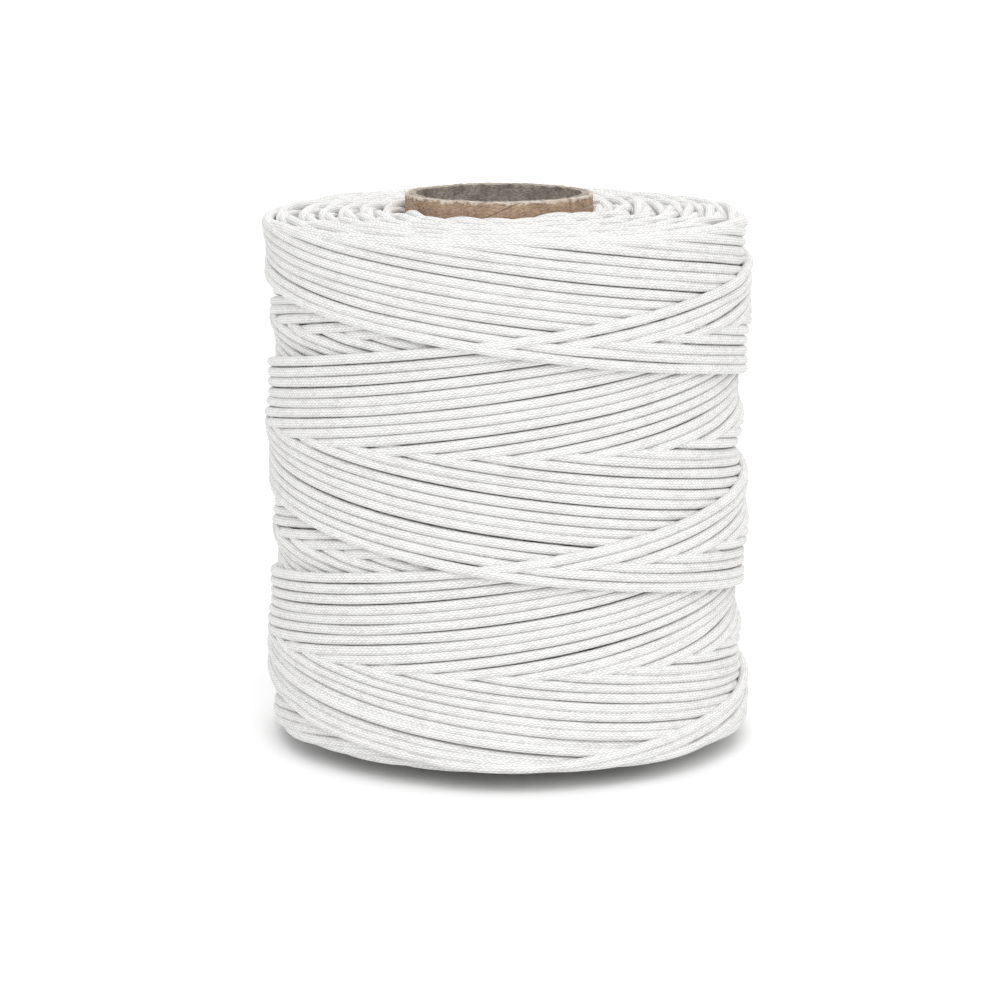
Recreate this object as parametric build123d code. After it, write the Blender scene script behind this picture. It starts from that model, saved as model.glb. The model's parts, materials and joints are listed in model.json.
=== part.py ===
"""A spool of waxed thread: one braided thread, cross-wound on a spiral paper tube.

Millimetres. The origin is on the bore's axis at the tube's lower end, +Z runs up the tube, and -Y is the front.
Each covering of the tube takes many passes up and down, and leaves two crossing threads everywhere. A covering
is drawn as one closed ring of its outer shape. The two ends of the thread are drawn where they lie.
"""

import math
import os

from build123d import *

# Thread
thread_diameter = 1.0
rise_per_turn = 20.53  # how far along the tube one turn of the thread climbs
thread_spacing = 0.97  # along the tube, from one thread to the next of the same hand

# Tube: three strips of paperboard, wound in spirals over each other and glued
bore_diameter = 15.9
tube_length = 53.2
ply_thickness = 0.34
glue_line = 0.015  # glue between two plies
seam_lead = 25.0  # axial distance from one turn of a strip's butt seam to the next
seam_gap = 0.15  # width of that seam, across it
seam_stagger = 1 / 3  # part of a turn between the seams of neighbouring plies
seam_start = 74.0  # degrees from the front to the inner ply's seam, at the lower end

# Winding
tube_projection = 1.2  # bare tube beyond the winding, at each end
coverings = 7
covering_build = 2.01  # radial growth of one covering
end_dish = 0.85  # how much shorter the winding is at its edge than at the tube, at each end
shoulder_radius = 1.6
runout = 0.83  # how far to +X the last covering's axis has drifted off the tube's

# Inner end of the thread, laid straight up the tube under the first covering
start_end_length = 14.0
start_end_angle = 205.0  # degrees round from the front
start_end_height = 12.0  # its lowest point
laid_clearance = 0.03  # between the thread's own ends and what they lie on

# Outer end of the thread, held down on the last covering by its wax
free_end_angle = 118.0  # where it leaves the last turn, in degrees round from the front
free_end_height = 14.0  # height of its centre there, from which it goes on down with the last turn
free_end_steps = 6
free_end_step = 11.0  # degrees round from one point of its route to the next
free_end_lift = (0.0, 0.0, 0.0, 0.0, 0.1, 0.35, 0.8)  # how far each point stands off the winding
bend_share = 0.45  # part of the shorter run that an arc's tangent takes

# Worked out from the values above
bore_radius = bore_diameter / 2
ply_names = ("tube_inner_ply", "tube_middle_ply", "tube_outer_ply")
ply_pitch = ply_thickness + glue_line
tube_radius = bore_radius + len(ply_names) * ply_pitch - glue_line
winding_radius = tube_radius + coverings * covering_build
winding_middle = tube_length / 2
half_height_at_tube = tube_length / 2 - tube_projection
half_height_at_edge = half_height_at_tube - end_dish
thread_radius = thread_diameter / 2
cut_overrun = 1.0  # how far a cutting tool reaches past what it cuts


def around(radius, angle, height, centre_x=0.0):
    """A point at an angle in degrees from the front, counted towards +X."""
    turn = math.radians(angle)
    return Vector(centre_x + radius * math.sin(turn), -radius * math.cos(turn), height)


def tube_ply(number):
    """One paper strip of the tube: a thin ring, open along its own spiral butt seam."""
    inner = bore_radius + number * ply_pitch
    middle = inner + ply_thickness / 2
    ring = Cylinder(inner + ply_thickness, tube_length, align=(Align.CENTER, Align.CENTER, Align.MIN))
    ring -= Cylinder(inner, tube_length, align=(Align.CENTER, Align.CENTER, Align.MIN))
    seam = Helix(seam_lead, tube_length + 2 * cut_overrun, middle, center=(0, 0, -cut_overrun))
    across = Plane(origin=seam @ 0, x_dir=Vector(1, 0, 0), z_dir=seam % 0)
    slit = sweep(across * Rectangle(ply_thickness + 2 * glue_line, seam_gap), path=seam, is_frenet=True)
    turned = seam_start + 360 * seam_stagger * number
    return ring - Rot(0, 0, turned - 90) * slit


def covering_radius(number):
    return tube_radius + number * covering_build


def covering_axis(number):
    """The covering's axis, as a distance to +X from the tube's."""
    return runout * number / coverings


def wound_disc(number):
    """All that is wound by the end of a covering, with its dished ends, and no hole for the tube."""
    radius = covering_radius(number)
    drop = end_dish * (radius - tube_radius) / (winding_radius - tube_radius)
    half = half_height_at_tube - drop
    rise_to_axis = end_dish * radius / (winding_radius - tube_radius)
    tip = half + rise_to_axis
    profile = make_face(Polyline((0, -tip), (radius, -half), (radius, half), (0, tip), close=True))
    disc = revolve(Plane.XZ * profile, axis=Axis.Z)
    if number == coverings:
        rims = disc.edges().filter_by(lambda e: e.center(CenterOf.BOUNDING_BOX).Z).filter_by(GeomType.CIRCLE)
        disc = fillet(rims, min(shoulder_radius, 0.9 * covering_build))
    return Pos(covering_axis(number), 0, winding_middle) * disc


def start_end(clearance=0.0):
    """The thread's inner end, or with a clearance the channel that the first covering leaves over it."""
    radius = thread_radius + clearance
    length = start_end_length + 2 * clearance
    foot = around(tube_radius + thread_radius + laid_clearance, start_end_angle, start_end_height - clearance)
    rod = Cylinder(radius, length, align=(Align.CENTER, Align.CENTER, Align.MIN))
    if clearance:
        rod += Box(2 * radius, thread_diameter, length, align=(Align.CENTER, Align.MIN, Align.MIN))
    return Pos(foot) * Rot(0, 0, start_end_angle) * rod


def covering_ring(number):
    """One covering: what is wound by its end, less what was wound before it."""
    bottom = -cut_overrun
    tall = tube_length + 2 * cut_overrun
    before = Cylinder(covering_radius(number - 1), tall, align=(Align.CENTER, Align.CENTER, Align.MIN))
    ring = wound_disc(number) - Pos(covering_axis(number - 1), 0, bottom) * before
    if number == 1:
        ring -= start_end(laid_clearance)
    return ring


def free_end_route():
    """Points of the outer end's route, on the last covering and then standing a little off it."""
    chord_sag = math.cos(math.radians(free_end_step / 2))
    laid = (winding_radius + thread_radius + laid_clearance) / chord_sag
    points = []
    for step in range(free_end_steps + 1):
        turned = step * free_end_step
        height = free_end_height - rise_per_turn * turned / 360
        radius = laid + free_end_lift[step]
        points.append(around(radius, free_end_angle + turned, height, covering_axis(coverings)))
    return points


def bend_radii(points):
    """For each corner of a route, the largest arc that its two runs allow."""
    radii = []
    for before, corner, after in zip(points, points[1:], points[2:]):
        turn = math.radians((corner - before).get_angle(after - corner))
        shorter = min((corner - before).length, (after - corner).length)
        radii.append(bend_share * shorter / math.tan(turn / 2))
    return radii


def free_end():
    points = free_end_route()
    radii = bend_radii(points)
    print("free end: bend radii", [round(r, 1) for r in radii])
    path = FilletPolyline(*points, radius=radii)
    section = Plane(origin=path @ 0, z_dir=path % 0) * Circle(thread_radius)
    tube = sweep(section, path=path)
    expected = math.pi * thread_radius**2 * path.length
    print("free end: length", round(path.length, 2), "volume against section times length", tube.volume / expected)
    return tube


def thread_length():
    """Length of thread on the spool: in each covering, two crossing layers of turns laid side by side."""
    total = 0.0
    for number in range(1, coverings + 1):
        mean = covering_radius(number) - covering_build / 2
        turn = math.hypot(2 * math.pi * mean, rise_per_turn)
        turns_in_layer = 2 * half_height_at_edge / thread_spacing
        total += 2 * turns_in_layer * turn
    return total


def main():
    os.makedirs("parts", exist_ok=True)
    for number, name in enumerate(ply_names):
        export_step(tube_ply(number), f"parts/{name}.step")
    export_step(start_end(), "parts/thread_start_end.step")
    for number in range(1, coverings + 1):
        export_step(covering_ring(number), f"parts/thread_covering_{number}.step")
    export_step(free_end(), "parts/thread_free_end.step")
    print("thread on the spool, m:", round(thread_length() / 1000, 1))


main()
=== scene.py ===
"""A spool of waxed thread for stitching leather: braided white thread, cross-wound on a spiral paper tube.

The whole thread is laid turn by turn, from the end that is trapped on the tube to the loose outer end.
Lengths are in millimetres until they go into a mesh, and angles are in degrees from the front, counted
towards +X.
"""

import json
import math

import bmesh
import bpy
import numpy as np
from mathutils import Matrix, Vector, noise


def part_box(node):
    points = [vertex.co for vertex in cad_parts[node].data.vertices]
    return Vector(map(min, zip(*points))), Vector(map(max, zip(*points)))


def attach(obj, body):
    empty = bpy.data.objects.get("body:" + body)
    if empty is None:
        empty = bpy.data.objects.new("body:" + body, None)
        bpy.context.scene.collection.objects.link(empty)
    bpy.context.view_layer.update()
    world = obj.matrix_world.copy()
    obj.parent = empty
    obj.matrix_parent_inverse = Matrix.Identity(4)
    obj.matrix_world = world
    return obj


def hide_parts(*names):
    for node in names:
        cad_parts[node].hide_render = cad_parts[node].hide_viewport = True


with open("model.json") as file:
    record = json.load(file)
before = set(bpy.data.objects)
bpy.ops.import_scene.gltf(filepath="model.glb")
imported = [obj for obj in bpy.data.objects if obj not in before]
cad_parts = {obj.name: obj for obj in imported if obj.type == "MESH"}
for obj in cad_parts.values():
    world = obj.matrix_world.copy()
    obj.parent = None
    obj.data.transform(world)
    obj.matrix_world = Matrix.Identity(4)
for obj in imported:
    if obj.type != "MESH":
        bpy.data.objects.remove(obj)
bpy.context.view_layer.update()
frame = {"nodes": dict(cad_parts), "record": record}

MM = 0.001

# ---------------------------------------------------------------- sizes, from the frame

COVERINGS = sum(name.startswith("thread_covering_") for name in frame["nodes"])


def node_box(name):
    low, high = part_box(name)
    return np.array(low) / MM, np.array(high) / MM


def node_radius(name):
    low, high = node_box(name)
    return (high[0] - low[0]) / 2


bore = next(mount for mount in frame["record"]["mounts"] if mount["name"] == "bore")
BORE_RADIUS = bore["dims"]["r_mm"]
TUBE_LENGTH = bore["dims"]["length_mm"]
TUBE_RADIUS = node_radius("tube_outer_ply")
first_low, first_high = node_box("thread_covering_1")
last_low, last_high = node_box(f"thread_covering_{COVERINGS}")
start_low, start_high = node_box("thread_start_end")
GROWTH = node_radius(f"thread_covering_{COVERINGS}") - TUBE_RADIUS
RUNOUT = (last_high[0] + last_low[0]) / 2

THREAD = 0.98  # thickness, pressed by its neighbours
HALF = THREAD / 2

# ---------------------------------------------------------------- the winding's law

RISE = 20.53  # how far along the tube one turn climbs
COLUMNS = 360  # places round the spool at which the thread's course is worked out
DOWN, UP = 891, 892  # columns in a stroke down and in a stroke up the tube
STROKES_PER_COVERING = 42
STROKES = COVERINGS * STROKES_PER_COVERING
LAST_TIP_COLUMN = 173  # where round the spool the last stroke turns back at the top
END_COLUMNS = 731  # how far the thread runs on past that, to its loose end
STROKE_HEIGHT = RISE * (DOWN + UP) / 2 / COLUMNS
TIP_HEIGHT = (first_high[2] + first_low[2] + STROKE_HEIGHT) / 2
TIP_DRIFT = -0.3  # how much the whole stroke sinks from the first covering to the last
TIP_EASE = 0.6  # turns over which a tip's shortfall fades away
TIP_WIDTH, TIP_WIDENING = 0.06, 0.03  # turns that a tip's rounding takes, and what the last has more
TIP_WIDTH_VARIES = (-0.01, 0.012)
SHORT_AT_BOTTOM, SHORT_AT_TOP = 0.9, 0.3  # how much shorter the last strokes are than the first
UNEVEN_FIRST, UNEVEN_LATER = 0.65, 0.3  # the most that chance shortens a stroke, near the tube and out
NEAR_TUBE = 1.2 / COVERINGS  # the share of the thread that counts as near the tube
WANDERS = ((0.05, 400), (0.035, 60), (0.015, 15))  # drifts off the course: size, columns in a step
ROW = 0.2  # height between the rows on which the wound surface is kept
ROWS = int(TUBE_LENGTH / ROW) + 1
REACH_ROWS = 3  # rows to each side that half a thread can cover
SPANS = (1, 2, 3, 5, 8, 12, 18, 26)  # columns over which the taut thread bridges a dip

rng = np.random.default_rng(7)


def goes_down(stroke):
    return (STROKES - 1 - stroke) % 2 == 0


def course(stroke, tips):
    """Heights of one stroke, column by column, rounded off at both of its tips."""
    columns = DOWN if goes_down(stroke) else UP
    done = np.arange(columns) / columns
    height = TIP_HEIGHT - STROKE_HEIGHT * (done if goes_down(stroke) else 1 - done)
    away_from_start = done * columns / COLUMNS
    for at_start, (width, short) in zip((True, False), tips):
        away = away_from_start if at_start else columns / COLUMNS - away_from_start
        towards_middle = -1 if goes_down(stroke) == at_start else 1
        rounded = np.where(away < width / 2, RISE * (width / 4 - away + away**2 / width), 0.0)
        ease = np.clip(1 - away / TIP_EASE, 0, 1) ** 2
        height = height + towards_middle * (rounded + short * ease)
    return height


def wander(count, size, step):
    """A slow, smooth, random drift."""
    knots = rng.normal(0, size, count // step + 3)
    return np.interp(np.arange(count) / step, np.arange(len(knots)), knots)


def tip_shapes():
    """For each tip, how many turns its rounding takes, and how far short of the winding's end it stops."""
    share = np.linspace(0, 1, STROKES + 1)
    at_bottom = np.array([goes_down(stroke - 1) for stroke in range(STROKES + 1)])
    widths = TIP_WIDTH + TIP_WIDENING * share + rng.uniform(*TIP_WIDTH_VARIES, STROKES + 1)
    uneven = np.where(share < NEAR_TUBE, UNEVEN_FIRST, UNEVEN_LATER)
    shorts = np.where(at_bottom, SHORT_AT_BOTTOM, SHORT_AT_TOP) * share
    shorts += uneven * rng.uniform(0, 1, STROKES + 1)
    return list(zip(widths, shorts))


def thread_course():
    """The whole thread's columns round the spool and its heights, from its first tip to its loose end."""
    tips = tip_shapes()
    height = np.concatenate([course(stroke, tips[stroke : stroke + 2]) for stroke in range(STROKES)])
    count = len(height)
    last_tip = count - DOWN
    height += TIP_DRIFT * np.linspace(0, 1, count)
    height += sum(wander(count, size, step) for size, step in WANDERS)
    turned = np.arange(count) - last_tip + LAST_TIP_COLUMN
    end = last_tip + END_COLUMNS + 1
    return turned[:end], height[:end]


def pulled_taut(closeness):
    """Pulls the thread tight over its supports.

    Closeness is 1 / radius, in which a straight chord is a sine.
    """
    reach = SPANS[-1]
    count = len(closeness)
    tight = closeness[reach : count - reach].copy()
    for back in SPANS:
        for on in SPANS:
            a, b = (math.radians(360 / COLUMNS * span) for span in (back, on))
            before = closeness[reach - back : count - reach - back]
            after = closeness[reach + on : count - reach + on]
            tight = np.minimum(tight, (before * math.sin(b) + after * math.sin(a)) / math.sin(a + b))
    return 1 / tight


def bulge(off):
    """Half of the thread's thickness at a height that far off its centre."""
    return HALF * np.sqrt(np.clip(1 - (off / HALF) ** 2, 0, 1))


def rest_on(surface, columns, height):
    """How far from the axis the thread's centre lies where it rests on the wound surface."""
    row = np.rint(height / ROW).astype(int)
    support = np.zeros(len(height))
    for step in (-1, 0, 1):
        at = np.clip(row + step, 0, ROWS - 1)
        support = np.maximum(support, surface[columns, at] + bulge(at * ROW - height))
    return support


def raise_surface(surface, columns, height, radius):
    row = np.rint(height / ROW).astype(int)
    for step in range(-REACH_ROWS, REACH_ROWS + 1):
        at = np.clip(row + step, 0, ROWS - 1)
        off = at * ROW - height
        top = np.where(np.abs(off) < HALF, radius + bulge(off), 0)
        surface[columns, at] = np.maximum(surface[columns, at], top)


STEP_OF_WORK = 180  # columns laid at a time
GIVE = 0.35  # part of a thread's proudness that the pull leaves
GIVE_AT_ENDS = 0.5  # how much more of it is left where the thread turns back
END_FADE = 1.5  # height over which that fades, going in from the winding's ends
END_FULL = 0.4  # part of the same height in which it doesn't fade yet
SLACK = 0.05  # how far above its share of the winding a thread may lie freely
COLUMN_WIDTH = 0.16  # of a column on the tube
START_MORE = 6  # how much further up than its node the start end runs, before it joins the turns
start_middle = (start_low + start_high) / 2
START_ANGLE = round(math.degrees(math.atan2(start_middle[0], -start_middle[1])))


def wind(columns, height):
    """Lays the whole thread on the tube and returns its distances from the axis."""
    surface = np.full((COLUMNS, ROWS), TUBE_RADIUS)
    start_rows = slice(int(start_low[2] / ROW), int((start_high[2] + START_MORE) / ROW))
    for step in range(-3, 4):
        ridge = TUBE_RADIUS + HALF + bulge(step * COLUMN_WIDTH)
        surface[(START_ANGLE + step) % COLUMNS, start_rows] = ridge
    count = len(height)
    reach = SPANS[-1]
    radius = np.full(count, TUBE_RADIUS + HALF)
    nominal = TUBE_RADIUS + GROWTH * (np.arange(count) + DOWN) / count - HALF + SLACK
    for start in range(0, count, STEP_OF_WORK):
        end = min(start + STEP_OF_WORK, count)
        ahead = np.clip(np.arange(start, end + reach), 0, count - 1)
        behind = radius[np.clip(np.arange(start - reach, start), 0, count - 1)]
        support = rest_on(surface, columns[ahead], height[ahead])
        laid = pulled_taut(1 / np.concatenate([behind, support]))
        allowed = nominal[start:end]
        from_top = TIP_HEIGHT - height[start:end]
        from_end = np.minimum(from_top, height[start:end] - TIP_HEIGHT + STROKE_HEIGHT)
        at_end = np.clip(1 + END_FULL - from_end / END_FADE, 0, 1)
        give = GIVE + GIVE_AT_ENDS * at_end * (1 - (start / count) ** 3)
        laid = np.where(laid > allowed, allowed + give * (laid - allowed), laid)
        radius[start:end] = laid
        raise_surface(surface, columns[start:end], height[start:end], laid)
    return radius


# How the wound layers settle: the distance of a thread's centre from the axis as laid, and after the pull
# of all the turns over it. The outer layers are pressed together the most.
LAID = (TUBE_RADIUS, 21.3, 22.9, 24.0)
SETTLED = (TUBE_RADIUS, 22.4, 23.35, 23.8)

LOOSE_COLUMNS = 33  # the last of the thread, which stands a little off the winding
LOOSE_LIFT = 0.8

# The start end: how far over its node it bends, the columns that the bend takes, the height left for it,
# and the distance between points on the straight
BEND_RISE = 2
BEND_COLUMNS = 30
BEND_ROOM = 5
START_STEP = 2.5


def spool_points(turned, height, radius):
    """Places of the thread's centre in the frame, in metres. The winding drifts to +X as it grows."""
    angle = np.radians((turned + 0.5) * 360 / COLUMNS)
    drift = RUNOUT * (radius - TUBE_RADIUS) / GROWTH
    return np.stack([drift + radius * np.sin(angle), -radius * np.cos(angle), height], axis=1) * MM


def trapped_start(turned, height, radius):
    """The thread's start, straight up the tube, and the place in the first stroke where it joins."""
    passes = np.flatnonzero((turned[:UP] - START_ANGLE) % COLUMNS == 0)
    bend = passes[np.argmax(height[passes] > start_high[2] + BEND_RISE)]
    join = bend + BEND_COLUMNS
    up = np.append(np.arange(start_low[2], height[bend] - BEND_ROOM, START_STEP), height[bend])
    return np.full(len(up), turned[bend]), up, np.full(len(up), radius[bend]), join


# ---------------------------------------------------------------- the thread as a mesh

SQUARENESS = 2.2  # 2 is a round thread; its neighbours press it towards a rounded square
NARROWED = 0.965  # and make it this much narrower along the spool
CAP_RINGS = 2  # rings of a tube's mesh that close its ends, before those along it
STRIP_MARGIN = 0.04  # left free at each side of a strip in the OFBake map


def route_of(points):
    """One NURBS spline through the given control points, as a curve object."""
    curve = bpy.data.curves.new("thread_route", "CURVE")
    curve.dimensions = "3D"
    curve.twist_mode = "Z_UP"
    curve.resolution_u = 1
    spline = curve.splines.new("NURBS")
    spline.points.add(len(points) - 1)
    spline.points.foreach_set("co", np.column_stack([points, np.ones(len(points))]).ravel())
    spline.order_u = 3
    spline.use_endpoint_u = True
    spline.resolution_u = 1
    return bpy.data.objects.new("thread_route", curve)


def numbers(items, name, width, kind=np.float32):
    found = np.empty(len(items) * width, kind)
    items.foreach_get(name, found)
    return found.reshape(-1, width) if width > 1 else found


def face_starts(mesh):
    return numbers(mesh.polygons, "loop_start", 1, np.int32)


def set_map(mesh, name, along, around):
    """Writes one map of the mesh: a place along and a place round the thread for each face corner."""
    chosen = mesh.uv_layers.get(name) or mesh.uv_layers.new(name=name)
    chosen.uv.foreach_set("vector", np.column_stack([along, around]).astype(np.float32).ravel())


def rings_of(vertices, sides, count):
    """Which of the count places along the thread each vertex belongs to."""
    ring = vertices // sides - CAP_RINGS
    return np.where(ring == -CAP_RINGS, count - 1, np.clip(ring, 0, None))


def map_thread(mesh, path, sides):
    """Writes the thread's two maps.

    Lay runs along the thread in millimetres and once round it. OFBake cuts the same into a sheet of strips.
    """
    steps = np.linalg.norm(np.diff(path, axis=0), axis=1) / MM
    distance = np.concatenate([[0], np.cumsum(steps)])
    corner = numbers(mesh.loops, "vertex_index", 1, np.int32)
    starts = face_starts(mesh)
    face = np.repeat(np.arange(len(starts)), np.diff(np.append(starts, len(corner))))
    ring = rings_of(corner, sides, len(distance))
    side = corner % sides
    wraps = (side == 0) & (np.maximum.reduceat(side, starts)[face] == sides - 1)
    around = np.where(wraps, sides, side) / sides
    along = distance[ring]
    mesh.uv_layers[0].name = "Lay"
    set_map(mesh, "Lay", along, around)
    strips = max(1, round(math.sqrt(distance[-1] / (math.pi * THREAD))))
    strip_length = distance[-1] / strips
    strip = np.minimum(np.minimum.reduceat(along, starts)[face] // strip_length, strips - 1)
    across = (along - strip * strip_length) / (strip_length + steps.max())
    in_strip = STRIP_MARGIN + (1 - 2 * STRIP_MARGIN) * around
    set_map(mesh, "OFBake", across, (strip + in_strip) / strips)
    mesh.uv_layers["Lay"].active = True
    return float(distance[-1]) * MM


def press_square(mesh, path, sides):
    """Presses the round tube's section a little square, as side by side threads do to each other."""
    place = numbers(mesh.vertices, "co", 3)
    ring = rings_of(np.arange(len(place)), sides, len(path))
    offset = (place - path[ring]) / (HALF * MM)
    up = offset[:, 2]
    out = np.sqrt(np.clip((offset**2).sum(axis=1) - up**2, 0, None))
    size = np.hypot(up, out)
    spread = size / (np.abs(up) ** SQUARENESS + out**SQUARENESS) ** (1 / SQUARENESS)
    offset[:, 2] *= NARROWED
    pressed = path[ring] + offset * spread[:, None] * HALF * MM
    mesh.vertices.foreach_set("co", pressed.astype(np.float32).ravel())


def thread_tube(name, points, sides):
    """The thread along those points, as a mesh tube with its maps, with its path and its length."""
    route = route_of(points)
    line = bpy.data.meshes.new_from_object(route)
    path = numbers(line.vertices, "co", 3)
    route.data.bevel_depth = HALF * MM
    route.data.bevel_resolution = (sides - 4) // 2
    route.data.use_fill_caps = True
    mesh = bpy.data.meshes.new_from_object(route)
    bpy.data.meshes.remove(line)
    bpy.data.curves.remove(route.data)
    mesh.name = name
    mesh.polygons.foreach_set("use_smooth", np.ones(len(mesh.polygons), bool))
    length = map_thread(mesh, path, sides)
    press_square(mesh, path, sides)
    piece = bpy.data.objects.new(name, mesh)
    bpy.context.scene.collection.objects.link(piece)
    return piece, path, length


# ---------------------------------------------------------------- the paper tube

SEAM_LEAD = 25.0  # how far a strip's seam climbs in a turn
SEAM_GAPS = (0.03, 0.04, 0.05)  # from the inner strip to the outer one
SEAM_START = 88.4  # where the inner ply's seam is, at the tube's lower end
PLY_NAMES = ("tube_inner_ply", "tube_middle_ply", "tube_outer_ply")
PLY_FACES = 240  # faces round one turn of a strip
ROUGH_DEPTH = 0.6  # how far in from the cut ends the paper is roughened
ROUGH_ROWS = (0.1, 0.25, ROUGH_DEPTH)  # depths of the rows of vertices that carry it
FINE_GRAIN, BROAD_GRAIN = 2200, 420  # of the roughness, per metre
FINE_OUT, BROAD_OUT = 0.045, 0.02  # how far it moves the paper sideways
FINE_UP, BROAD_UP = 0.08, 0.07  # and along the tube
EDGE_ROUNDING = 0.06  # how much lower the walls' edges are than the middle of the cut
SET_BACK = 0.09  # which keeps the highest fibre inside the tube's length
SHARP = math.radians(35)
LEVEL = 0.05  # the most that a round edge of a cut changes its distance from the axis
WELD = 1e-9


def cut_at(made, height, **settings):
    """Cuts every face across at a height in millimetres."""
    everything = made.verts[:] + made.edges[:] + made.faces[:]
    place = (0, 0, height * MM)
    return bmesh.ops.bisect_plane(made, geom=everything, dist=WELD, plane_co=place, **settings)


def runs_round(edge):
    first, last = (vertex.co.xy.length for vertex in edge.verts)
    return abs(first - last) < LEVEL * MM


def cut_square(made, height, upwards):
    """Cuts the strip off at a height and closes the cut between its outer and its inner wall."""
    cut = cut_at(made, height, plane_no=(0, 0, upwards), clear_outer=True)["geom_cut"]
    lying = [item for item in cut if isinstance(item, bmesh.types.BMEdge) and runs_round(item)]
    bridged = bmesh.ops.bridge_loops(made, edges=lying)["faces"]
    across = [edge for face in bridged for edge in face.edges if edge not in lying]
    bmesh.ops.subdivide_edges(made, edges=list(set(across)), cuts=2, use_grid_fill=True)


def roughen(made, inner, outer):
    """Rounds and frays the strip's cut ends."""
    middle = (inner + outer) / 2
    for vertex in made.verts:
        radius = vertex.co.xy.length / MM
        depth = min(vertex.co.z, TUBE_LENGTH * MM - vertex.co.z) / MM
        upwards = 1 if vertex.co.z > TUBE_LENGTH * MM / 2 else -1
        near = max(0.0, 1 - depth / ROUGH_DEPTH)
        if not near:
            continue
        edge = ((radius - middle) / (outer - middle)) ** 2
        fine = noise.fractal(vertex.co * FINE_GRAIN, 0.6, 2.0, 3)
        broad = noise.noise(vertex.co * BROAD_GRAIN)
        out = vertex.co.xy.normalized().to_3d()
        side = 1 if radius > middle else -1
        vertex.co += out * MM * near * (FINE_OUT * fine * side + BROAD_OUT * broad)
        raised = FINE_UP * fine + BROAD_UP * broad - EDGE_ROUNDING * edge - SET_BACK
        vertex.co.z += upwards * MM * near**3 * raised


def ply_strip(number, name, inner, outer):
    """One strip of paperboard, wound up the tube edge to edge with itself."""
    made = bmesh.new()
    gap = SEAM_GAPS[number] * math.hypot(SEAM_LEAD, 2 * math.pi * inner) / (2 * math.pi * inner)
    seam = math.radians(SEAM_START + 360 * number / len(PLY_NAMES))
    across = Vector((math.sin(seam), -math.cos(seam), 0))
    rows = [across * inner, across * outer]
    low = Vector((0, 0, gap / 2 - 2 * SEAM_LEAD))
    high = Vector((0, 0, -gap / 2 - SEAM_LEAD))
    corners = [rows[0] + low, rows[1] + low, rows[1] + high, rows[0] + high]
    face = made.faces.new([made.verts.new(corner * MM) for corner in corners])
    turns = math.ceil(TUBE_LENGTH / SEAM_LEAD) + 2
    climb = (0, 0, SEAM_LEAD * MM / PLY_FACES)
    bmesh.ops.spin(made, geom=[face, *face.edges, *face.verts], cent=(0, 0, 0), axis=(0, 0, 1), dvec=climb,
                   angle=turns * 2 * math.pi, steps=turns * PLY_FACES)
    cut_square(made, 0, -1)
    cut_square(made, TUBE_LENGTH, 1)
    for depth in ROUGH_ROWS:
        for height in (depth, TUBE_LENGTH - depth):
            cut_at(made, height, plane_no=(0, 0, 1))
    roughen(made, inner, outer)
    bmesh.ops.recalc_face_normals(made, faces=made.faces)
    for face in made.faces:
        face.smooth = True
    for edge in made.edges:
        edge.smooth = edge.calc_face_angle(0) < SHARP
    mesh = bpy.data.meshes.new(name)
    made.to_mesh(mesh)
    made.free()
    piece = bpy.data.objects.new(name, mesh)
    bpy.context.scene.collection.objects.link(piece)
    return piece


# ---------------------------------------------------------------- loose fibres and filaments

HAIR = 0.01  # radius of a hair of thickness 1
RIM_FIBRES = 110
RIM_INSET = 0.05  # how far inside the walls the rim's fibres start
MID_RIM_INSET = 0.4  # how far inside the outer wall those in the middle of the rim start
RIM_DEPTH = 0.04  # how far inside the tube's length they all start
RIM_FIBRE_LENGTHS = (0.15, 0.45)
LONG_FIBRE = 0.5  # the foot's fibres are longer than this
BORE_SIDE = 0.6  # fibres that start further than this inside the outer wall lean into the bore
# Longer fibres at the foot of the bare upper end: angle, height over the winding's top, and length
FOOT_FIBRES = ((56, 0, 0.8), (61, 0.05, 1.0), (65, 0.1, 1.1), (69, 0, 0.9), (74, 0.2, 1.0), (80, 0.3, 0.8),
               (290, 0.05, 0.7), (296, 0, 0.8), (302, 0.05, 0.6))
RIM_THICKNESS, FOOT_THICKNESS, FILAMENT_THICKNESS = 1.1, 2.8, 4.0  # times a plain hair's
FILAMENTS = 46
FILAMENT_ROOT = 0.15  # how deep in the cut end the filaments start


def hair(curve, foot, lean, bend, thickness):
    """Adds one bent hair, from its foot along lean, given in millimetres."""
    spline = curve.splines.new("NURBS")
    spline.points.add(2)
    for point, place in zip(spline.points, (foot, foot + lean / 2 + bend / 2, foot + lean)):
        point.co = (*(place * MM), 1)
        point.radius = thickness
    spline.order_u = 3
    spline.use_endpoint_u = True


def hairs(name, adder):
    """A piece made of all the hairs that adder puts on a thin round curve."""
    curve = bpy.data.curves.new(name, "CURVE")
    curve.dimensions = "3D"
    curve.bevel_depth = HAIR * MM
    curve.bevel_resolution = 0
    curve.use_fill_caps = True
    curve.resolution_u = 2
    adder(curve)
    mesh = bpy.data.meshes.new_from_object(bpy.data.objects.new(name, curve))
    bpy.data.curves.remove(curve)
    piece = bpy.data.objects.new(name, mesh)
    bpy.context.scene.collection.objects.link(piece)
    return piece


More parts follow.
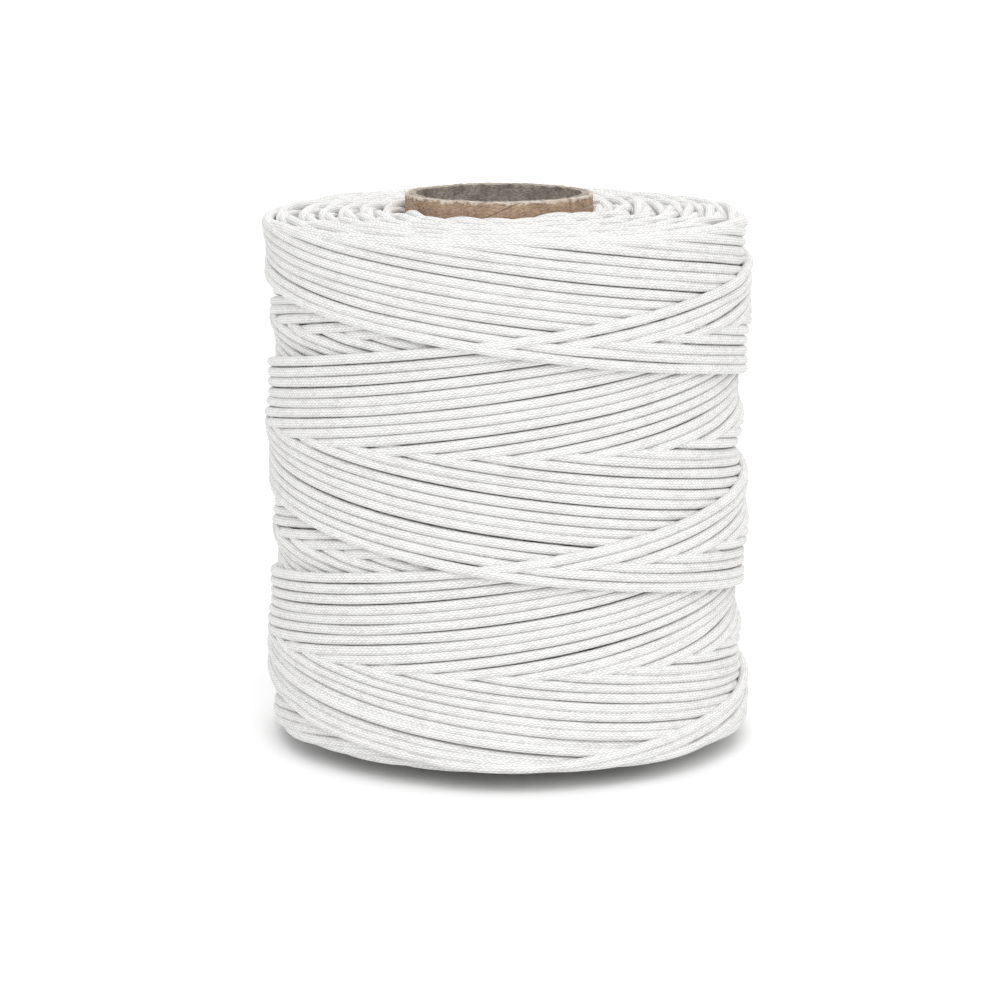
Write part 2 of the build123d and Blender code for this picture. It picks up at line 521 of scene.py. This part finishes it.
def tube_fibres(curve):
    """Paper fibres that stand out of the tube's cut rims, and a few longer ones at its bare end's foot."""
    walls = (BORE_RADIUS + RIM_INSET, TUBE_RADIUS - RIM_INSET, TUBE_RADIUS - MID_RIM_INSET)
    ends = (RIM_DEPTH, TUBE_LENGTH - RIM_DEPTH)
    feet = [(rng.uniform(0, 360), rng.choice(walls), rng.choice(ends), rng.uniform(*RIM_FIBRE_LENGTHS))
            for _ in range(RIM_FIBRES)]
    feet += [(angle, TUBE_RADIUS, first_high[2] + rise, length) for angle, rise, length in FOOT_FIBRES]
    for angle, radius, height, length in feet:
        turn = math.radians(angle)
        out = Vector((math.sin(turn), -math.cos(turn), 0))
        along = Vector((math.cos(turn), math.sin(turn), 0))
        long = length > LONG_FIBRE
        up = 0 if height < TUBE_LENGTH / 2 else 0.3 if long else 1  # the spool stands on its lower rim
        outwards = -0.5 if radius < TUBE_RADIUS - BORE_SIDE else 1
        lean = (out * outwards * rng.uniform(0.3, 1) + along * rng.normal(0, 0.6)
                + Vector((0, 0, up * rng.uniform(0.15, 0.9)))).normalized() * length
        bend = (along * rng.normal(0, 0.4) + out * rng.normal(0, 0.2)) * length
        thickness = FOOT_THICKNESS if long else RIM_THICKNESS
        hair(curve, out * radius + Vector((0, 0, height)), lean, bend, thickness)


def thread_filaments(end, direction):
    """Returns what adds the frayed filaments of the thread's cut outer end."""
    aside = direction.orthogonal().normalized()
    third = direction.cross(aside)

    def add(curve):
        for _ in range(FILAMENTS):
            turn = rng.uniform(0, 2 * math.pi)
            away = rng.uniform(0.05, HALF * 0.85)
            out = aside * math.cos(turn) + third * math.sin(turn)
            lean = direction * rng.uniform(0.4, 1.2) + out * rng.uniform(-0.1, 0.9) * away
            foot = end + out * away - direction * FILAMENT_ROOT
            hair(curve, foot, lean, out * rng.normal(0, 0.1), FILAMENT_THICKNESS)

    return add


# ---------------------------------------------------------------- materials


class Wire:
    """A shader value that can be used in sums."""

    def __init__(self, tree, socket):
        self.tree = tree
        self.socket = socket

    def math(self, operation, *others):
        made = self.tree.nodes.new("ShaderNodeMath")
        made.operation = operation
        for k, value in enumerate((self, *others)):
            plug(self.tree, value, made.inputs[k])
        return Wire(self.tree, made.outputs[0])

    def __add__(self, other):
        return self.math("ADD", other)

    def __sub__(self, other):
        return self.math("SUBTRACT", other)

    def __mul__(self, other):
        return self.math("MULTIPLY", other)

    def __rsub__(self, other):
        return (self * -1) + other

    def clamped(self):
        return self.math("MAXIMUM", 0.0).math("MINIMUM", 1.0)

    __radd__ = __add__
    __rmul__ = __mul__


def plug(tree, value, socket):
    if isinstance(value, Wire):
        tree.links.new(value.socket, socket)
    else:
        socket.default_value = value


class Finish:
    """A material under construction: its node tree and its Principled shader."""

    def __init__(self, name, roughness, specular=0.5):
        self.material = bpy.data.materials.new(name)
        self.material.use_nodes = True
        self.tree = self.material.node_tree
        self.shader = self.tree.nodes["Principled BSDF"]
        self.shader.inputs["Roughness"].default_value = roughness
        self.shader.inputs["Specular IOR Level"].default_value = specular

    def node(self, kind, settings=None, output=0, **values):
        """Adds a node: its settings, then the values or links of its sockets, by name or as _number."""
        made = self.tree.nodes.new(kind)
        for name, value in (settings or {}).items():
            setattr(made, name, value)
        for name, value in values.items():
            key = int(name[1:]) if name[0] == "_" else name.replace("_", " ")
            plug(self.tree, value, made.inputs[key])
        return Wire(self.tree, made.outputs[output])

    def blend(self, factor, low, high):
        """A colour between two others."""
        return self.node("ShaderNodeMix", {"data_type": "RGBA"}, 2, Factor=factor, _6=low, _7=high)

    def millimetres(self, stretch=(1, 1, 1)):
        """The place on the piece, in millimetres, stretched for a pattern with a grain."""
        place = self.node("ShaderNodeTexCoord", output=3)
        scale = tuple(part / MM for part in stretch)
        return self.node("ShaderNodeVectorMath", {"operation": "MULTIPLY"}, _0=place, _1=scale)

    def cloud(self, place, scale, detail=3.0):
        return self.node("ShaderNodeTexNoise", Vector=place, Scale=scale, Detail=detail)

    def feed(self, name, value):
        plug(self.tree, value, self.shader.inputs[name])


def step_up(value, low, high):
    """0 under low, 1 over high, and a ramp between."""
    return ((value - low) * (1 / (high - low))).clamped()


PICK = 0.52  # along the thread, from one grain of the braid to the next
GRAIN_ROWS = 12  # rows of grains round the thread
SLANT = 0.8  # how far each grain leans over in its row, in picks. The rows lean by turns to either side.
WHITE = (0.85, 0.847, 0.84, 1)
# A grey painted as shade in the low places between the braid's strands. It is also the darker end of the
# loose filaments' random tone.
SHADE_AND_FILAMENT_GREY = (0.40, 0.395, 0.385, 1)
WAX_SHADE = (0.86, 0.85, 0.82, 1)


def braided_thread():
    """White braid: rows of slanted grains, each a little different, with painted shade in the grey gaps
    between them, under a film of wax.
    """
    finish = Finish("braided_waxed_thread", 0.5, 0.35)
    lay_map = finish.node("ShaderNodeUVMap", {"uv_map": "Lay"})
    along = finish.node("ShaderNodeSeparateXYZ", output=0, _0=lay_map)
    around = finish.node("ShaderNodeSeparateXYZ", output=1, _0=lay_map)
    rows = around * GRAIN_ROWS
    row = rows.math("FLOOR")
    across = rows.math("FRACT") - 0.5
    odd = row.math("PINGPONG", 1.0)
    picks = along * (1 / PICK) + odd * 0.5 + across * (odd * 2 - 1) * SLANT
    in_grain = (picks.math("FRACT") - 0.5) * 2
    grain = finish.node("ShaderNodeCombineXYZ", X=picks.math("FLOOR"), Y=row, Z=0.0)
    chance = finish.node("ShaderNodeTexWhiteNoise", {"noise_dimensions": "3D"}, Vector=grain)
    ridge = 1 - across * across * 3
    rise = 1 - in_grain.math("POWER", 4.0)
    raised = ridge * rise * (0.4 + chance * 0.6)
    wax = step_up(finish.cloud(finish.millimetres(), 0.9, 1.0), 0.4, 0.66)
    # Painted shade: the low places between the grains get the grey, and the grains' brightness also differs
    # at random.
    grains_with_painted_shade = finish.blend(step_up(raised, -0.05, 0.5), SHADE_AND_FILAMENT_GREY, WHITE)
    slow = finish.cloud(finish.millimetres(), 0.35, 2.0)
    multiply = {"data_type": "RGBA", "blend_type": "MULTIPLY"}
    shade = step_up(slow, 0.45, 0.75) * 0.35
    finish.feed("Base Color", finish.node("ShaderNodeMix", multiply, 2, Factor=shade, _6=grains_with_painted_shade, _7=WAX_SHADE))
    finish.feed("Roughness", 0.5 + chance * 0.15 - wax * 0.12)
    finish.feed("Normal", finish.node("ShaderNodeBump", Height=raised, Strength=1.0, Distance=0.05 * MM))
    return finish.material


KRAFT = (0.315, 0.215, 0.152, 1)
KRAFT_DARK = (0.12, 0.07, 0.04, 1)
KRAFT_PALE = (0.55, 0.41, 0.29, 1)
CHIP = (0.28, 0.24, 0.20, 1)
CHIP_DARK = (0.09, 0.07, 0.06, 1)
CHIP_PALE = (0.46, 0.41, 0.36, 1)
TORN_KRAFT = (0.66, 0.60, 0.53, 1)
TORN_CHIP = (0.43, 0.38, 0.32, 1)
# How deep the torn edge reaches: with the fibres, in its jags, and more in patches. TORN_FADE is the depth
# over which it ends.
TORN_BY_FIBRES, TORN_BY_JAGS, TORN_BY_PATCHES, TORN_FADE = 0.6, 0.9, 0.12, 0.12


def paperboard(name, base, dark, pale, torn_colour):
    """Paperboard with its fibres, dark and pale flecks, and a lighter torn edge."""
    finish = Finish(name, 0.9, 0.2)
    place = finish.millimetres()
    fibres = finish.cloud(finish.millimetres((1, 1, 3.5)), 2.6, 6.0)
    flecks = finish.cloud(place, 5.5, 2.0)
    grains = finish.cloud(finish.millimetres((1, 1, 2)), 7.5, 2.0)
    colour = finish.blend(step_up(fibres, 0.3, 0.7), dark, pale)
    colour = finish.blend(0.3, colour, base)
    colour = finish.blend(step_up(flecks, 0.6, 0.68) * 0.6, colour, dark)
    colour = finish.blend(step_up(grains, 0.6, 0.68) * 0.7, colour, pale)
    curls = finish.cloud(place, 1.3, 1.0)
    thin = step_up(0.016 - (curls - 0.5).math("ABSOLUTE"), 0.0, 0.012)
    patches = finish.cloud(place, 0.8, 0.0)
    colour = finish.blend(thin * step_up(patches, 0.55, 0.6) * 0.8, colour, pale)
    colour = finish.blend(thin * step_up(1 - patches, 0.57, 0.62) * 0.7, colour, dark)
    broad = finish.cloud(place, 0.45, 2.0)
    colour = finish.blend(step_up(broad, 0.5, 0.64) * 0.25, colour, pale)
    colour = finish.blend(step_up(1 - broad, 0.52, 0.66) * 0.35, colour, dark)
    level = finish.node("ShaderNodeSeparateXYZ", output=2, _0=place)
    depth = level.math("MINIMUM", TUBE_LENGTH - level)
    uneven = step_up(finish.cloud(place, 0.9, 3.0), 0.36, 0.6)
    jagged = finish.cloud(place, 2.2, 2.0)
    reach = fibres * TORN_BY_FIBRES + (jagged - 0.5) * TORN_BY_JAGS + uneven * TORN_BY_PATCHES
    torn = step_up(reach - depth, 0.0, TORN_FADE)
    finish.feed("Base Color", finish.blend(torn * (0.3 + uneven * 0.6), colour, torn_colour))
    relief = fibres + flecks * 0.5 + torn * grains
    finish.feed("Normal", finish.node("ShaderNodeBump", Height=relief, Strength=0.6, Distance=0.06 * MM))
    return finish.material


def fibre(name, low, high):
    """Single fibres, each a little different in shade."""
    finish = Finish(name, 0.7, 0.3)
    finish.feed("Base Color", finish.blend(finish.cloud(finish.millimetres(), 3.0), low, high))
    return finish.material


# ---------------------------------------------------------------- camera, light and floor

CAMERA_DISTANCE = 320.9
CAMERA_TILT = math.radians(11.28)  # above level
CAMERA_AIM = (0.098, 0, 23.03)
SENSOR = 36.0
FOCAL_LENGTH = 3.2875 * SENSOR  # a view 17.3 degrees wide
WORLD_STRENGTH = 0.69  # of the even light from all round
# Far soft lights: name, the way it shines, spread in degrees, and strength
SUNS = (("front", (-0.08, 0.66, -0.75), 55, 1.64),
        ("back", (-0.05, -0.8, -0.6), 60, 0.8),
        ("right", (-0.95, 0.2, -0.2), 60, 0.5),
        ("left", (0.95, 0.2, -0.2), 60, 0.38))
FLOOR_RADIUS = 4.0  # metres
FLOOR_WHITE = (0.93, 0.93, 0.93, 1)


def make_camera():
    data = bpy.data.cameras.new("camera")
    data.sensor_width = SENSOR
    data.lens = FOCAL_LENGTH
    data.clip_start = 0.01
    camera = bpy.data.objects.new("camera", data)
    back = Vector((0, -math.cos(CAMERA_TILT), math.sin(CAMERA_TILT)))
    camera.location = (Vector(CAMERA_AIM) + back * CAMERA_DISTANCE) * MM
    camera.rotation_mode = "QUATERNION"
    camera.rotation_quaternion = (-back).to_track_quat("-Z", "Y")
    bpy.context.scene.collection.objects.link(camera)
    bpy.context.scene.camera = camera


def soft_sun(name, towards, spread, strength):
    """A far, wide, even light, shining in the given direction."""
    data = bpy.data.lights.new(name, "SUN")
    data.angle = math.radians(spread)
    data.energy = strength
    light = bpy.data.objects.new(name, data)
    light.rotation_mode = "QUATERNION"
    light.rotation_quaternion = Vector(towards).to_track_quat("-Z", "Y")
    bpy.context.scene.collection.objects.link(light)


def make_world():
    """Even light from all round. Where the world itself is seen, it is plain white."""
    world = bpy.data.worlds.new("studio")
    world.use_nodes = True
    background = world.node_tree.nodes["Background"]
    background.inputs["Color"].default_value = (1, 1, 1, 1)
    rays = world.node_tree.nodes.new("ShaderNodeLightPath")
    seen = Wire(world.node_tree, rays.outputs["Is Camera Ray"])
    plug(world.node_tree, WORLD_STRENGTH + seen * (1 - WORLD_STRENGTH), background.inputs["Strength"])
    bpy.context.scene.world = world
    bpy.context.scene.view_settings.view_transform = "Standard"


def make_floor():
    made = bmesh.new()
    bmesh.ops.create_circle(made, cap_ends=True, segments=64, radius=FLOOR_RADIUS)
    mesh = bpy.data.meshes.new("floor")
    made.to_mesh(mesh)
    made.free()
    floor = bpy.data.objects.new("floor", mesh)
    finish = Finish("pale_floor", 0.9, 0.1)
    finish.shader.inputs["Base Color"].default_value = FLOOR_WHITE
    mesh.materials.append(finish.material)
    bpy.context.scene.collection.objects.link(floor)


# ---------------------------------------------------------------- making the spool

# Columns between the thread's points, and sides of its tube, in each covering from the outermost inwards
POINT_STEPS = (3, 6, 9)
TUBE_SIDES = (14, 10)
FINE_ZONE = 7  # height at the winding's ends in which the points stay as close as on the outermost covering


def join_in(piece, material, slot, *nodes):
    """Gives the piece its material and its body, and hides the frame's nodes that it stands for. The slot is
    not used.
    """
    piece.data.materials.append(material)
    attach(piece, "root")
    if nodes:
        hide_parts(*nodes)


def covering_ends(count):
    """Where in the thread each covering ends. The cuts are halfway along a stroke, under later turns."""
    in_covering = (DOWN + UP) * STROKES_PER_COVERING // 2
    return [0, *(in_covering * number + DOWN // 3 for number in range(1, COVERINGS)), count - 1]


def thread_pieces(count):
    """Name, covering, first and last place, and sides of each piece. The last covering is in two."""
    ends = covering_ends(count)
    pieces = []
    for number in range(1, COVERINGS):
        pieces.append((f"thread_turns_{number}", number, ends[number - 1], ends[number], TUBE_SIDES[1]))
    half = (ends[-2] + ends[-1]) // 2
    pieces.append((f"thread_turns_{COVERINGS}_lower", COVERINGS, ends[-2], half, TUBE_SIDES[0]))
    pieces.append((f"thread_turns_{COVERINGS}_upper", COVERINGS, half, ends[-1], TUBE_SIDES[0]))
    return pieces


def make_thread():
    material = braided_thread()
    turned, height = thread_course()
    count = len(height)
    radius = np.interp(wind(turned % COLUMNS, height), LAID, SETTLED)
    print("last covering's mean outer radius", round(float(radius[-4 * UP :].mean()) + HALF, 2))
    loose = np.clip((np.arange(count) - (count - 1 - LOOSE_COLUMNS)) / LOOSE_COLUMNS, 0, 1)
    radius = radius + LOOSE_LIFT * loose**2
    start_turned, start_height, start_radius, join = trapped_start(turned, height, radius)
    index = np.arange(count)
    near_end = (height < first_low[2] + FINE_ZONE) | (height > first_high[2] - FINE_ZONE)
    for name, covering, first, last, sides in thread_pieces(count):
        step = POINT_STEPS[min(COVERINGS - covering, len(POINT_STEPS) - 1)]
        keep = (index % step == 0) | (near_end & (index % POINT_STEPS[0] == 0))
        keep[[first, last]] = True
        keep &= (index >= (join if covering == 1 else first)) & (index <= last)
        places = turned[keep], height[keep], radius[keep]
        if covering == 1:
            starts = start_turned, start_height, start_radius
            places = [np.concatenate(pair) for pair in zip(starts, places)]
        piece, path, length = thread_tube(name, spool_points(*places), sides)
        nodes = [f"thread_covering_{covering}"]
        nodes += ["thread_start_end"] if covering == 1 else []
        nodes += ["thread_free_end"] if last == count - 1 else []
        join_in(piece, material, "waxed_thread", *nodes)
        print(name, len(path), "rings", round(length, 2), "m", len(piece.data.polygons) * 2, "triangles")
        frayed = []
        if last == count - 1:
            end, before = Vector(path[-1]), Vector(path[-3])
            filaments = thread_filaments(end / MM, (end - before).normalized())
            frayed = [hairs("thread_end_filaments", filaments)]
            join_in(frayed[0], fibre("thread_filament", SHADE_AND_FILAMENT_GREY, WHITE), "waxed_thread")


def make_tube():
    kraft = paperboard("kraft_paper", KRAFT, KRAFT_DARK, KRAFT_PALE, TORN_KRAFT)
    chip = paperboard("grey_chipboard", CHIP, CHIP_DARK, CHIP_PALE, TORN_CHIP)
    walls = [BORE_RADIUS] + [node_radius(name) for name in PLY_NAMES]
    thickness = walls[1] - walls[0]
    for number, name in enumerate(PLY_NAMES):
        outer = walls[number + 1]
        piece = ply_strip(number, name.replace("_ply", "_strip"), outer - thickness, outer)
        join_in(piece, kraft if number == len(PLY_NAMES) - 1 else chip, "kraft_tube", name)
    fibres = hairs("tube_stray_fibres", tube_fibres)
    join_in(fibres, fibre("paper_fibre", KRAFT_DARK, TORN_KRAFT), "kraft_tube")


make_camera()
make_world()
for settings in SUNS:
    soft_sun(*settings)
make_floor()
make_thread()
make_tube()
